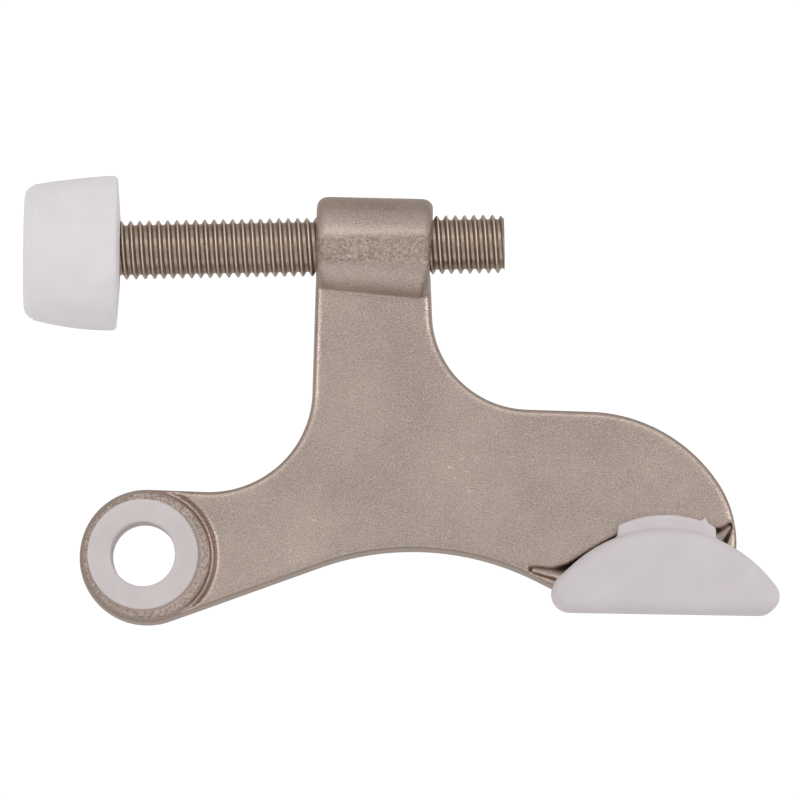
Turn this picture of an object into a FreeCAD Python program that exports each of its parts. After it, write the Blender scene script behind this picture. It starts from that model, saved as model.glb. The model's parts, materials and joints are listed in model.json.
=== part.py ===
"""Hinge-pin door stop: a die-cast arm on nylon bushings, a wall bumper on an adjusting screw and a door pad.

Frame, in millimetres: +Z is the axis of the hinge pin, +X runs along the adjusting screw away from the wall
bumper, and the door pad faces -Y. The origin is on the hinge pin's axis, halfway through the arm.
"""

import FreeCAD, Part
import math
import os
import Sketcher

V = FreeCAD.Vector

SIZES = {
    # The flat arm, its draft towards the upper face and the rounding of its edges.
    "arm_thickness": 6.4,
    "arm_draft": 1.6,
    "arm_edge_round": 0.35,
    # The eye round the hinge pin, a little off the bore's axis.
    "eye_x": 0.4,
    "eye_y": -0.17,
    "eye_radius": 9.1,
    "boss_radius": 8.85,
    "boss_height": 8.4,
    "boss_round": 0.5,
    "moat_width": 0.62,
    "moat_depth": 0.65,
    "moat_round": 0.2,
    "eye_bore_radius": 5.6,
    # The arm's outline: centre and radius of each round stretch, and the two corners inside the barrel.
    "belly_x": 35.43,
    "belly_y": -36.88,
    "belly_radius": 36.93,
    "heel_x": 58.6,
    "heel_y": -5.05,
    "toe_x": 76.3,
    "toe_y": -5.3,
    "sole_round": 2.0,
    "brow_y": 0.65,
    "brow_radius": 14.5,
    "hump_x": 59.25,
    "hump_y": -3.07,
    "hump_radius": 21.5,
    "crook_x": 52.42,
    "crook_y": 32.02,
    "crook_radius": 13.2,
    "neck_right_x": 39.1,
    "neck_left_x": 23.85,
    "throat_x": 9.17,
    "throat_y": 22.33,
    "throat_radius": 13.85,
    # The recess in both faces above the sole, which leaves a thin web for the door pad's lips.
    "web_thickness": 2.6,
    "recess_tip_x": 52.5,
    "recess_tip_y": -2.6,
    "recess_tip_round": 0.42,
    "recess_heel_x": 58.4,
    "recess_heel_y": -4.1,
    "recess_toe_x": 74.6,
    "recess_toe_y": -4.35,
    "recess_corner_round": 1.0,
    "recess_horn_x": 78.72,
    "recess_horn_y": 2.72,
    "recess_horn_round": 0.34,
    "right_lobe_x": 76.75,
    "right_lobe_y": 4.1,
    "right_lobe_radius": 2.0,
    "recess_peak_x": 67.0,
    "recess_peak_y": 2.9,
    "recess_crown_x": 71.93,
    "recess_crown_y": -18.26,
    "recess_crown_radius": 21.5,
    "left_lobe_x": 55.0,
    "left_lobe_y": 2.62,
    "left_lobe_radius": 5.3,
    # The barrel that holds the screw: a slight cone on an axis that leans from the screw's.
    "barrel_x": 23.85,
    "barrel_y": 41.25,
    "barrel_lean": 4.3,
    "barrel_length": 15.45,
    "barrel_left_radius": 6.87,
    "barrel_right_radius": 7.3,
    "barrel_round": 1.25,
    # The adjusting screw, M8 x 1.25, and its running clearance in the tapped hole.
    "screw_y": 41.25,
    "screw_left_x": -11.3,
    "screw_right_x": 49.15,
    "screw_radius": 3.95,
    "screw_root_radius": 3.34,
    "screw_pitch": 1.25,
    "crest_width": 0.17,
    "head_flats": 13.0,
    "head_height": 5.3,
    "plain_shank": 1.4,
    "screw_end_chamfer": 0.55,
    "tap_clearance": 0.11,
    "tap_countersink": 0.5,
    # The wall bumper, snapped over the screw's head.
    "bumper_left_x": -15.8,
    "bumper_right_x": -2.75,
    "bumper_front_round": 2.3,
    "bumper_front_y": 7.05,
    "bumper_belly_x": -4.6,
    "bumper_belly_radius": 37.0,
    "bumper_radius": 10.5,
    "bumper_back_round": 0.45,
    "bumper_mouth_radius": 4.25,
    "cavity_clearance": 0.22,
    # The two nylon bushings in the eye.
    "pin_bore_radius": 4.3,
    "flange_radius": 7.4,
    "flange_thickness": 0.9,
    "flange_round": 0.25,
    "bushing_gap": 0.2,
    # The door pad, in its own frame: origin at the middle of the flat contact face, y up the pad.
    "pad_x": 70.15,
    "pad_y": -8.88,
    "pad_lean": 1.92,
    "pad_width": 14.0,
    "pad_corner_x": 12.96,
    "pad_corner_radius": 2.25,
    "dome_y": -7.05,
    "dome_radius": 18.2,
    "pad_face_round": 1.6,
    "neck_half": 6.69,
    "neck_root_y": 6.0,
    "neck_width": 10.0,
    "neck_crown_y": -1.6,
    "neck_crown_radius": 14.6,
    "neck_corner_y": 11.0,
    "neck_corner_round": 0.6,
    # The slot in the pad and the lips that reach into the arm's recess.
    "slot_clearance": 0.12,
    "lip_clearance": 0.08,
    "lip_root": 0.3,
    "lip_crown_x": 69.9,
    "lip_crown_y": -15.93,
    "lip_crown_radius": 17.75,
    "lip_left_x": 57.3,
    "lip_left_y": -4.1,
    "lip_right_x": 76.4,
    "lip_right_y": 0.05,
    "lip_corner_round": 0.4,
}


class Size:
    """A length: its value now, and the sheet formula that keeps it bound."""

    def __init__(self, value, formula):
        self.value = value
        self.formula = formula

    def __add__(self, other):
        return Size(self.value + other.value, f"({self.formula} + {other.formula})")

    def __sub__(self, other):
        return Size(self.value - other.value, f"({self.formula} - {other.formula})")

    def __neg__(self):
        return Size(-self.value, f"(-{self.formula})")

    def __mul__(self, number):
        return Size(self.value * number, f"({self.formula} * {number!r})")

    def __truediv__(self, number):
        return self * (1 / number)


def fill_sheet(document):
    """Put every driving dimension in the sheet as a plain number with its name as alias."""
    sheet = document.addObject("Spreadsheet::Sheet", "Sizes")
    for row, (name, value) in enumerate(SIZES.items(), start=1):
        sheet.set(f"A{row}", name)
        sheet.set(f"B{row}", repr(value))
        sheet.setAlias(f"B{row}", name)
    document.recompute()
    return sheet


def size(name):
    """The named driving dimension."""
    return Size(SIZES[name], f"Sizes.{name}")


def fixed(value):
    """A number that no cell drives, such as zero on an axis."""
    return Size(value, repr(float(value)))


ZERO = fixed(0)

# The tapped hole starts this many turns along the thread and runs for this many turns.
TAP_TURNS_ALONG = 21
TAP_TURNS = 22


def new_sketch(body, name, role, shift=None, turn=None):
    """A sketch on one of the body's origin planes, shifted by three sizes and turned in its plane."""
    sketch = body.newObject("Sketcher::SketchObject", name)
    plane = next(feature for feature in body.Origin.OriginFeatures if feature.Role == role)
    sketch.AttachmentSupport = [(plane, "")]
    sketch.MapMode = "FlatFace"
    shift = shift or (ZERO, ZERO, ZERO)
    angle = turn.value if turn else 0
    sketch.AttachmentOffset = FreeCAD.Placement(
        V(*(part.value for part in shift)), FreeCAD.Rotation(V(0, 0, 1), angle)
    )
    for letter, part in zip("xyz", shift):
        if part.value:
            sketch.setExpression(f"AttachmentOffset.Base.{letter}", part.formula)
    if turn:
        sketch.setExpression("AttachmentOffset.Rotation.Angle", turn.formula)
    return sketch


def drive(sketch, kind, places, amount):
    """Add a dimension to the sketch and bind it to its formula."""
    index = sketch.addConstraint(Sketcher.Constraint(kind, *places, amount.value))
    sketch.setExpression(f"Constraints[{index}]", amount.formula)


def drive_point(sketch, geometry, position, x, y, free=None):
    """Hold a point at x, y, or on an axis where a coordinate is zero, unless that coordinate is free."""
    if free != "x":
        if x.value == 0:
            sketch.addConstraint(Sketcher.Constraint("PointOnObject", geometry, position, -2))
        else:
            drive(sketch, "DistanceX", (-1, 1, geometry, position), x)
    if free != "y":
        if y.value == 0:
            sketch.addConstraint(Sketcher.Constraint("PointOnObject", geometry, position, -1))
        else:
            drive(sketch, "DistanceY", (-1, 1, geometry, position), y)


class Pulley:
    """A round stretch of an outline, or a sharp corner when it has no radius.

    bend is 1 where the outline, run anticlockwise, turns left round it, and -1 where it turns right. free
    names the coordinate of the centre that touching its neighbours settles, if any.
    """

    def __init__(self, x, y, radius=None, bend=1, free=None):
        self.x = x
        self.y = y
        self.radius = radius
        self.bend = bend
        self.free = free

    def centre(self):
        return V(self.x.value, self.y.value, 0)

    def reach(self):
        return self.bend * self.radius.value if self.radius else 0


def tangent_run(first, second):
    """Where the straight run between two pulleys leaves one and meets the other."""
    span = second.centre() - first.centre()
    swing = second.reach() - first.reach()
    run = math.sqrt(max(span.Length**2 - swing**2, 0))
    heading = math.atan2(span.y, span.x) - math.atan2(swing, run)
    left = V(-math.sin(heading), math.cos(heading), 0)
    return first.centre() - left * first.reach(), second.centre() - left * second.reach(), run


def draw_belt(sketch, pulleys):
    """Draw the closed outline that runs round the pulleys like a belt, with its dimensions bound."""
    count = len(pulleys)
    runs = [tangent_run(pulleys[i], pulleys[(i + 1) % count]) for i in range(count)]
    chain = []
    for i, pulley in enumerate(pulleys):
        arrives, leaves = runs[i - 1][1], runs[i][0]
        if pulley.radius:
            first, last = (arrives, leaves) if pulley.bend > 0 else (leaves, arrives)
            angles = []
            for point in (first, last):
                arm = point - pulley.centre()
                angles.append(math.atan2(arm.y, arm.x))
            if angles[1] < angles[0]:
                angles[1] += 2 * math.pi
            circle = Part.Circle(pulley.centre(), V(0, 0, 1), pulley.radius.value)
            arc = sketch.addGeometry(Part.ArcOfCircle(circle, *angles))
            drive(sketch, "Radius", (arc,), pulley.radius)
            drive_point(sketch, arc, 3, pulley.x, pulley.y, pulley.free)
            chain.append((arc, 1, 2) if pulley.bend > 0 else (arc, 2, 1))
        if runs[i][2] > 1e-6:
            line = sketch.addGeometry(Part.LineSegment(runs[i][0], runs[i][1]))
            chain.append((line, 1, 2))
            if not pulley.radius:
                drive_point(sketch, line, 1, pulley.x, pulley.y)
    is_arc = [sketch.Geometry[link[0]].TypeId == "Part::GeomArcOfCircle" for link in chain]
    for i, link in enumerate(chain):
        following = (i + 1) % len(chain)
        smooth = is_arc[i] or is_arc[following]
        joint = Sketcher.Constraint(
            "Tangent" if smooth else "Coincident", link[0], link[2], chain[following][0], chain[following][1]
        )
        sketch.addConstraint(joint)


def draw_circle(sketch, x, y, radius):
    """Draw one circle with its dimensions bound."""
    circle = sketch.addGeometry(Part.Circle(V(x.value, y.value, 0), V(0, 0, 1), radius.value))
    drive(sketch, "Radius", (circle,), radius)
    drive_point(sketch, circle, 3, x, y)


def add_pad(body, sketch, name, length, midplane=False, taper=None):
    """Extrude a sketch, upwards from its plane or to both sides of it."""
    pad = body.newObject("PartDesign::Pad", name)
    pad.Profile = sketch
    pad.Length = length.value
    pad.setExpression("Length", length.formula)
    pad.Midplane = midplane
    if taper:
        pad.TaperAngle = taper.value
        pad.setExpression("TaperAngle", taper.formula)
    return pad


def arm_outline(grow=ZERO):
    """The arm seen from above, as pulleys, with every edge moved outwards by grow."""
    brow_centre = SIZES["hump_radius"] - SIZES["brow_radius"]
    rise = SIZES["brow_y"] - SIZES["hump_y"]
    brow_x = SIZES["hump_x"] + math.sqrt(brow_centre**2 - rise**2)
    sole = size("sole_round") + grow
    return [
        Pulley(size("eye_x"), size("eye_y"), size("eye_radius") + grow),
        Pulley(size("belly_x"), size("belly_y"), size("belly_radius") - grow, -1),
        Pulley(size("heel_x"), size("heel_y"), sole),
        Pulley(size("toe_x"), size("toe_y"), sole),
        Pulley(fixed(brow_x), size("brow_y"), size("brow_radius") + grow, free="x"),
        Pulley(size("hump_x"), size("hump_y"), size("hump_radius") + grow),
        Pulley(size("crook_x"), size("crook_y"), size("crook_radius") - grow, -1),
        Pulley(size("neck_right_x"), size("screw_y")),
        Pulley(size("neck_left_x"), size("screw_y")),
        Pulley(size("throat_x"), size("throat_y"), size("throat_radius") - grow, -1),
    ]


def find_faces(shape, height):
    """The flat faces that lie level at this height."""
    level = []
    for number, face in enumerate(shape.Faces, start=1):
        box = face.BoundBox
        if box.ZLength < 1e-4 and abs(box.ZMin - height) < 1e-4:
            level.append(f"Face{number}")
    return level


def add_fillet(body, base, name, places, radius):
    """Round the named edges, or every edge of the named faces, of the last feature."""
    fillet = body.newObject("PartDesign::Fillet", name)
    fillet.Base = (base, places)
    fillet.Radius = radius.value
    fillet.setExpression("Radius", radius.formula)
    return fillet


def add_pocket(body, sketch, name, length, midplane=False, backwards=False):
    """Cut a sketch away, below its plane, above it when backwards, or to both sides."""
    pocket = body.newObject("PartDesign::Pocket", name)
    pocket.Profile = sketch
    pocket.Length = length.value
    pocket.setExpression("Length", length.formula)
    pocket.Midplane = midplane
    pocket.Reversed = backwards
    return pocket


def turn_profile(body, sketch, name, kind="Revolution", axis="H_Axis"):
    """Revolve a sketch a full turn round one of its own axes, to add or, as a Groove, to cut."""
    feature = body.newObject(f"PartDesign::{kind}", name)
    feature.Profile = sketch
    feature.ReferenceAxis = (sketch, [axis])
    feature.Angle = 360
    return feature


def cut_thread(body, name, outer, root, root_width, crest_width, start, length):
    """Cut one helical groove round the screw's axis, from start along +X, between two radii."""
    profile = new_sketch(body, f"{name}_profile", "XZ_Plane", (start, ZERO, -size("screw_y")))
    corners = [
        Pulley(-root_width / 2, root),
        Pulley(root_width / 2, root),
        Pulley(crest_width / 2, outer),
        Pulley(-crest_width / 2, outer),
    ]
    draw_belt(profile, corners)
    helix = body.newObject("PartDesign::SubtractiveHelix", name)
    helix.Profile = profile
    helix.ReferenceAxis = (profile, ["H_Axis"])
    helix.Mode = 0
    helix.Pitch = SIZES["screw_pitch"]
    helix.setExpression("Pitch", "Sizes.screw_pitch")
    helix.Height = length.value
    helix.setExpression("Height", length.formula)
    return helix


def add_eye(body):
    """The boss round the hinge pin on both faces, with a moat where it rises from the plate."""
    at_eye = (size("eye_x"), ZERO, -size("eye_y"))
    top = size("boss_height") / 2
    rounding = size("boss_round")
    radius = size("boss_radius")
    section = new_sketch(body, "boss_section", "XZ_Plane", at_eye)
    draw_belt(
        section,
        [
            Pulley(ZERO, -top),
            Pulley(radius - rounding, -(top - rounding), rounding),
            Pulley(radius - rounding, top - rounding, rounding),
            Pulley(ZERO, top),
        ],
    )
    turn_profile(body, section, "boss", axis="V_Axis")
    floor = size("arm_thickness") / 2 - size("moat_depth")
    brim = size("arm_thickness") / 2 + size("moat_round")
    outer = radius + size("moat_width")
    moat_round = size("moat_round")
    for name, sense in (("upper_moat", 1), ("lower_moat", -1)):
        moat = new_sketch(body, f"{name}_section", "XZ_Plane", at_eye)
        corners = [
            Pulley(radius, floor * sense),
            Pulley(outer - moat_round, (floor + moat_round) * sense, moat_round),
            Pulley(outer, brim * sense),
            Pulley(radius, brim * sense),
        ]
        draw_belt(moat, corners if sense > 0 else corners[::-1])
        turn_profile(body, moat, name, "Groove", "V_Axis")
    bore = new_sketch(body, "eye_bore_section", "XY_Plane")
    draw_circle(bore, ZERO, ZERO, size("eye_bore_radius"))
    add_pocket(body, bore, "eye_bore", size("boss_height") * 2, midplane=True)


def add_barrel(body):
    """The barrel: a slight cone with rounded ends, on an axis that leans from the screw's."""
    section = new_sketch(
        body, "barrel_section", "XY_Plane", (size("barrel_x"), size("barrel_y"), ZERO), -size("barrel_lean")
    )
    length, rounding = size("barrel_length"), size("barrel_round")
    draw_belt(
        section,
        [
            Pulley(ZERO, ZERO),
            Pulley(length, ZERO),
            Pulley(length - rounding, size("barrel_right_radius") - rounding, rounding),
            Pulley(rounding, size("barrel_left_radius") - rounding, rounding),
        ],
    )
    turn_profile(body, section, "barrel")


def thread_start():
    """The place, left of the head's shank, that every turn of the thread is counted from."""
    return size("screw_left_x") + size("head_height") + size("plain_shank")


def tap_barrel(body):
    """The tapped hole right through the barrel, in step with the screw's thread and clear of it."""
    gap = size("tap_clearance")
    root = size("screw_root_radius") + gap
    crest = size("screw_radius") + gap
    start = thread_start() + size("screw_pitch") * TAP_TURNS_ALONG
    length = size("screw_pitch") * TAP_TURNS
    hole = new_sketch(body, "tap_hole_section", "YZ_Plane", (ZERO, ZERO, start))
    draw_circle(hole, size("screw_y"), ZERO, root)
    add_pocket(body, hole, "tap_hole", length, backwards=True)
    for name, place, sense in (
        ("left_mouth", size("barrel_x"), 1),
        ("right_mouth", size("barrel_x") + size("barrel_length"), -1),
    ):
        mouth = new_sketch(body, f"{name}_section", "XY_Plane", (place, size("screw_y"), ZERO))
        depth = size("tap_countersink") * sense
        corners = [
            Pulley(-depth, ZERO),
            Pulley(depth + (crest - root) * sense, ZERO),
            Pulley(depth + (crest - root) * sense, root),
            Pulley(-depth, crest + size("tap_countersink")),
        ]
        draw_belt(mouth, corners if sense > 0 else corners[::-1])
        turn_profile(body, mouth, name, "Groove")
    flank = gap * (2 / math.sqrt(3))
    crest_width, root_width = thread_widths()
    at_root = size("screw_pitch") - root_width + flank * 2
    at_crest = crest_width + flank * 2
    cut_thread(body, "tapped_thread", crest, size("screw_root_radius"), at_root, at_crest, start, length)


def cut_recess(body):
    """The recess in both faces above the sole, which leaves the web that the door pad's lips grip."""
    tip, corner = size("recess_tip_round"), size("recess_corner_round")
    outline = [
        Pulley(size("recess_tip_x"), size("recess_tip_y"), tip),
        Pulley(size("recess_heel_x"), size("recess_heel_y"), corner),
        Pulley(size("recess_toe_x"), size("recess_toe_y"), corner),
        Pulley(size("recess_horn_x"), size("recess_horn_y"), size("recess_horn_round")),
        Pulley(size("right_lobe_x"), size("right_lobe_y"), size("right_lobe_radius"), -1),
        Pulley(size("recess_peak_x"), size("recess_peak_y")),
        Pulley(size("recess_crown_x"), size("recess_crown_y"), size("recess_crown_radius")),
        Pulley(size("left_lobe_x"), size("left_lobe_y"), size("left_lobe_radius"), -1),
    ]
    depth = size("arm_thickness") / 2
    level = size("web_thickness") / 2
    for name, floor, upwards in (("upper", level, True), ("lower", -level, False)):
        sketch = new_sketch(body, f"{name}_recess_outline", "XY_Plane", (ZERO, ZERO, floor))
        draw_belt(sketch, outline)
        add_pocket(body, sketch, f"{name}_recess", depth, backwards=upwards)


def build_arm(document):
    """The die-cast arm: flat plate, eye, barrel with its tapped hole, and the foot inside the door pad."""
    body = document.addObject("PartDesign::Body", "arm_casting")
    half = size("arm_thickness") / 2
    outline = new_sketch(body, "arm_outline", "XY_Plane", (ZERO, ZERO, -half))
    draw_belt(outline, arm_outline())
    plate = add_pad(body, outline, "arm_plate", size("arm_thickness"), taper=-size("arm_draft"))
    document.recompute()
    rims = find_faces(body.Shape, half.value) + find_faces(body.Shape, -half.value)
    add_fillet(body, plate, "arm_edge_rounding", rims, size("arm_edge_round"))
    cut_recess(body)
    add_eye(body)
    add_barrel(body)
    tap_barrel(body)
    return body


def thread_widths():
    """The width of the thread's crest, and of its root between 60 degree flanks."""
    crest_width = size("crest_width")
    depth = size("screw_radius") - size("screw_root_radius")
    return crest_width, size("screw_pitch") - crest_width - depth * (2 / math.sqrt(3))


def build_screw(document):
    """The adjusting screw: a hex head inside the bumper and a fully threaded right-hand shank."""
    body = document.addObject("PartDesign::Body", "adjusting_screw")
    neck = size("screw_left_x") + size("head_height")
    radius, chamfer = size("screw_radius"), size("screw_end_chamfer")
    shank = new_sketch(body, "shank_section", "XY_Plane", (ZERO, size("screw_y"), ZERO))
    draw_belt(
        shank,
        [
            Pulley(neck - size("crest_width"), ZERO),
            Pulley(size("screw_right_x"), ZERO),
            Pulley(size("screw_right_x"), radius - chamfer),
            Pulley(size("screw_right_x") - chamfer, radius),
            Pulley(neck - size("crest_width"), radius),
        ],
    )
    turn_profile(body, shank, "shank")
    head = new_sketch(body, "head_outline", "YZ_Plane", (ZERO, ZERO, size("screw_left_x")))
    draw_hexagon(head, size("screw_y"), ZERO, size("head_flats"))
    add_pad(body, head, "hex_head", size("head_height"))
    crest_width, root_width = thread_widths()
    gap = size("tap_clearance")
    flank = gap * (2 / math.sqrt(3))
    threaded = size("screw_right_x") - thread_start() + size("screw_pitch") * 2
    top_width = size("screw_pitch") - crest_width
    cut_thread(
        body,
        "thread",
        size("screw_radius") + gap,
        size("screw_root_radius"),
        root_width,
        top_width + flank,
        thread_start() + size("screw_pitch") / 2,
        threaded,
    )
    return body


def draw_hexagon(sketch, x, y, flats):
    """Draw a hexagon of this width across its flats, with two corners level with its centre."""
    corner = flats / math.sqrt(3)
    rise, run = flats / 2, corner / 2
    draw_belt(
        sketch,
        [
            Pulley(x + corner, y),
            Pulley(x + run, y + rise),
            Pulley(x - run, y + rise),
            Pulley(x - corner, y),
            Pulley(x - run, y - rise),
            Pulley(x + run, y - rise),
        ],
    )


def build_bumper(document):
    """The wall bumper: a rubber cap that is snapped over the screw's head, which turns inside it."""
    body = document.addObject("PartDesign::Body", "wall_bumper")
    section = new_sketch(body, "bumper_section", "XY_Plane", (ZERO, size("screw_y"), ZERO))
    clearance = size("cavity_clearance")
    cavity_left = size("screw_left_x") - clearance
    cavity_right = size("screw_left_x") + size("head_height") + clearance
    cavity_radius = size("head_flats") / math.sqrt(3) + clearance
    front, back = size("bumper_front_round"), size("bumper_back_round")
    draw_belt(
        section,
        [
            Pulley(size("bumper_left_x"), ZERO),
            Pulley(cavity_left, ZERO),
            Pulley(cavity_left, cavity_radius),
            Pulley(cavity_right, cavity_radius),
            Pulley(cavity_right, size("bumper_mouth_radius")),
            Pulley(size("bumper_right_x"), size("bumper_mouth_radius")),
            Pulley(size("bumper_right_x") - back, size("bumper_radius") - back, back),
            Pulley(
                size("bumper_belly_x"),
                size("bumper_radius") - size("bumper_belly_radius"),
                size("bumper_belly_radius"),
            ),
            Pulley(size("bumper_left_x") + front, size("bumper_front_y"), front),
        ],
    )
    turn_profile(body, section, "bumper_shell")
    return body


def build_bushing(document, name, turn):
    """One flanged nylon bushing, pressed into the eye from its side until the flange meets the boss."""
    body = document.addObject("PartDesign::Body", name)
    seat = size("boss_height") / 2
    rounding = size("flange_round")
    section = new_sketch(body, f"{name}_section", "XZ_Plane")
    top = seat + size("flange_thickness")
    draw_belt(
        section,
        [
            Pulley(size("pin_bore_radius"), size("bushing_gap") / 2),
            Pulley(size("eye_bore_radius"), size("bushing_gap") / 2),
            Pulley(size("eye_bore_radius"), seat),
            Pulley(size("flange_radius"), seat),
            Pulley(size("flange_radius") - rounding, top - rounding, rounding),
            Pulley(size("pin_bore_radius"), top),
        ],
    )
    turn_profile(body, section, f"{name}_ring", axis="V_Axis")
    body.Placement = FreeCAD.Placement(V(0, 0, 0), FreeCAD.Rotation(V(1, 0, 0), turn))
    return body


def build_pad(document):
    """The door pad: a rubber shoe that snaps over the arm's foot, with a neck up each face of the arm."""
    body = document.addObject("PartDesign::Body", "door_pad")
    at_pad, lean = (size("pad_x"), size("pad_y"), ZERO), -size("pad_lean")
    corner = size("pad_corner_radius")
    half = size("pad_width") / 2
    outline = new_sketch(body, "pad_outline", "XY_Plane", at_pad, lean)
    draw_belt(
        outline,
        [
            Pulley(-size("pad_corner_x"), corner, corner, free="x"),
            Pulley(size("pad_corner_x"), corner, corner, free="x"),
            Pulley(ZERO, size("dome_y"), size("dome_radius")),
        ],
    )
    shoe = add_pad(body, outline, "pad_shoe", size("pad_width"), midplane=True)
    document.recompute()
    faces = find_faces(body.Shape, half.value) + find_faces(body.Shape, -half.value)
    add_fillet(body, shoe, "pad_edge_rounding", faces, size("pad_face_round"))
    neck = new_sketch(body, "neck_outline", "XY_Plane", at_pad, lean)
    rounding = size("neck_corner_round")
    draw_belt(
        neck,
        [
            Pulley(-size("neck_half"), size("neck_root_y")),
            Pulley(size("neck_half"), size("neck_root_y")),
            Pulley(size("neck_half") - rounding, size("neck_corner_y"), rounding, free="y"),
            Pulley(ZERO, size("neck_crown_y"), size("neck_crown_radius")),
            Pulley(-(size("neck_half") - rounding), size("neck_corner_y"), rounding, free="y"),
        ],
    )
    add_pad(body, neck, "pad_neck", size("neck_width"), midplane=True)
    slot = new_sketch(body, "slot_outline", "XY_Plane")
    draw_belt(slot, arm_outline(size("slot_clearance")))
    add_pocket(body, slot, "slot", size("arm_thickness") + size("slot_clearance") * 2, midplane=True)
    near = size("web_thickness") / 2 + size("lip_clearance")
    depth = size("arm_thickness") / 2 + size("lip_root") - near
    lip_round = size("lip_corner_round")
    toe_round = size("recess_corner_round") - size("lip_clearance")
    lip = [
        Pulley(size("lip_left_x"), size("lip_left_y"), lip_round, free="y"),
        Pulley(size("recess_toe_x"), size("recess_toe_y"), toe_round),
        Pulley(size("lip_right_x"), size("lip_right_y"), lip_round, free="y"),
        Pulley(size("lip_crown_x"), size("lip_crown_y"), size("lip_crown_radius")),
    ]
    for name, level in (("upper_lip", near), ("lower_lip", -(near + depth))):
        sketch = new_sketch(body, f"{name}_outline", "XY_Plane", (ZERO, ZERO, level))
        draw_belt(sketch, lip)
        add_pad(body, sketch, name, depth)
    return body


def check_document(document, bodies):
    """Stop if any object failed to compute or any body isn't one valid solid."""
    for item in document.Objects:
        if "Invalid" in item.State or "Error" in item.State:
            raise RuntimeError(f"{item.Name} failed: {item.State}")
    for body in bodies:
        shape = body.Shape
        if shape.isNull() or not shape.isValid() or len(shape.Solids) != 1:
            raise RuntimeError(f"{body.Label} isn't one valid solid")


def main():
    """Build the document, check it and write one STEP file for each body."""
    document = FreeCAD.newDocument("door_stop")
    fill_sheet(document)
    bodies = [
        build_arm(document),
        build_screw(document),
        build_bumper(document),
        build_bushing(document, "upper_bushing", 0),
        build_bushing(document, "lower_bushing", 180),
        build_pad(document),
    ]
    document.recompute()
    check_document(document, bodies)
    os.makedirs("parts", exist_ok=True)
    for body in bodies:
        body.Shape.exportStep(f"parts/{body.Label}.step")
        box = body.Shape.BoundBox
        print(f"{body.Label}: {body.Shape.Volume:.1f} mm3, x {box.XMin:.2f} to {box.XMax:.2f}")


main()
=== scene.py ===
"""Looks of a hinge-pin door stop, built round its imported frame.

Lengths in the classes below are millimetres in the frame's own axes, and become metres where a mesh is
made: +Z is the axis of the hinge pin, +X runs along the adjusting screw away from the wall bumper, and the
door pad faces -Y. A cutter runs OVERRUN past the face that it opens.
"""

from __future__ import annotations

import json
import logging
import math
from dataclasses import dataclass
from enum import Enum

import bmesh
import bpy
from mathutils import Matrix, Vector

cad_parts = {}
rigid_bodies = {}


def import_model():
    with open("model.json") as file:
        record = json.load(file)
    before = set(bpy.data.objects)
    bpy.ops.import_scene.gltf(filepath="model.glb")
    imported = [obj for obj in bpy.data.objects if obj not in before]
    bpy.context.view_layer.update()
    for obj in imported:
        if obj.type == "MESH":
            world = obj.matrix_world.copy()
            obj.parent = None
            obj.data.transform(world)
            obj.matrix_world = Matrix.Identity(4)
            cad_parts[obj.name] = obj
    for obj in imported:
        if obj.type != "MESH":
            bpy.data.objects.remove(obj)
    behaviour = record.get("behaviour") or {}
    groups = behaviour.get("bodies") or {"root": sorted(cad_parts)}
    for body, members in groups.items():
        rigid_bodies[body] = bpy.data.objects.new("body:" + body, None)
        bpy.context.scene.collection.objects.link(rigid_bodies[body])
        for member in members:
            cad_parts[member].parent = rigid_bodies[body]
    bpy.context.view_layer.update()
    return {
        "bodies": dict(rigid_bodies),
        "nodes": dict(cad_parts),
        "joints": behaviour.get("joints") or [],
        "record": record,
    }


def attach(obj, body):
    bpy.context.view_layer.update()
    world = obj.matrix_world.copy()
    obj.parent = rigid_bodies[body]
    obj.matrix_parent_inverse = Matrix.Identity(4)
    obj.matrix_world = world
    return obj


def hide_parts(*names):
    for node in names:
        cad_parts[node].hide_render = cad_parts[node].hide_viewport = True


LOG = logging.getLogger("door_stop")

MM = 0.001
CLOSE = 1e-6
OVERRUN = 1.0


class Bend(Enum):
    """Which way an outline that is run anticlockwise turns round one of its round stretches."""

    LEFT = 1
    RIGHT = -1


class Level(Enum):
    """The two faces of the flat arm."""

    UPPER = 1
    LOWER = -1


class Plane(Enum):
    """The plane a section is drawn in, as the turn that brings the XY plane there."""

    LEVEL = Matrix.Identity(4)
    UPRIGHT = Matrix.Rotation(math.radians(90), 4, "X")


class Join(Enum):
    """How one solid is worked into another."""

    ADD = "UNION"
    CUT = "DIFFERENCE"


@dataclass(frozen=True)
class Stretch:
    """One round stretch of an outline, or a sharp corner where it has no radius."""

    x: float
    y: float
    radius: float = 0.0
    bend: Bend = Bend.LEFT

    @property
    def centre(self) -> Vector:
        """The centre of the stretch."""
        return Vector((self.x, self.y, 0.0))

    @property
    def reach(self) -> float:
        """The radius, negative where the outline turns right."""
        return self.radius * self.bend.value

    def grown(self, by: float) -> Stretch:
        """The same stretch with the outline moved outwards.

        Args:
            by: How far outwards, in millimetres.

        Returns:
            The new stretch.
        """
        if not self.radius:
            return self
        return Stretch(self.x, self.y, self.radius + by * self.bend.value, self.bend)


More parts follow.
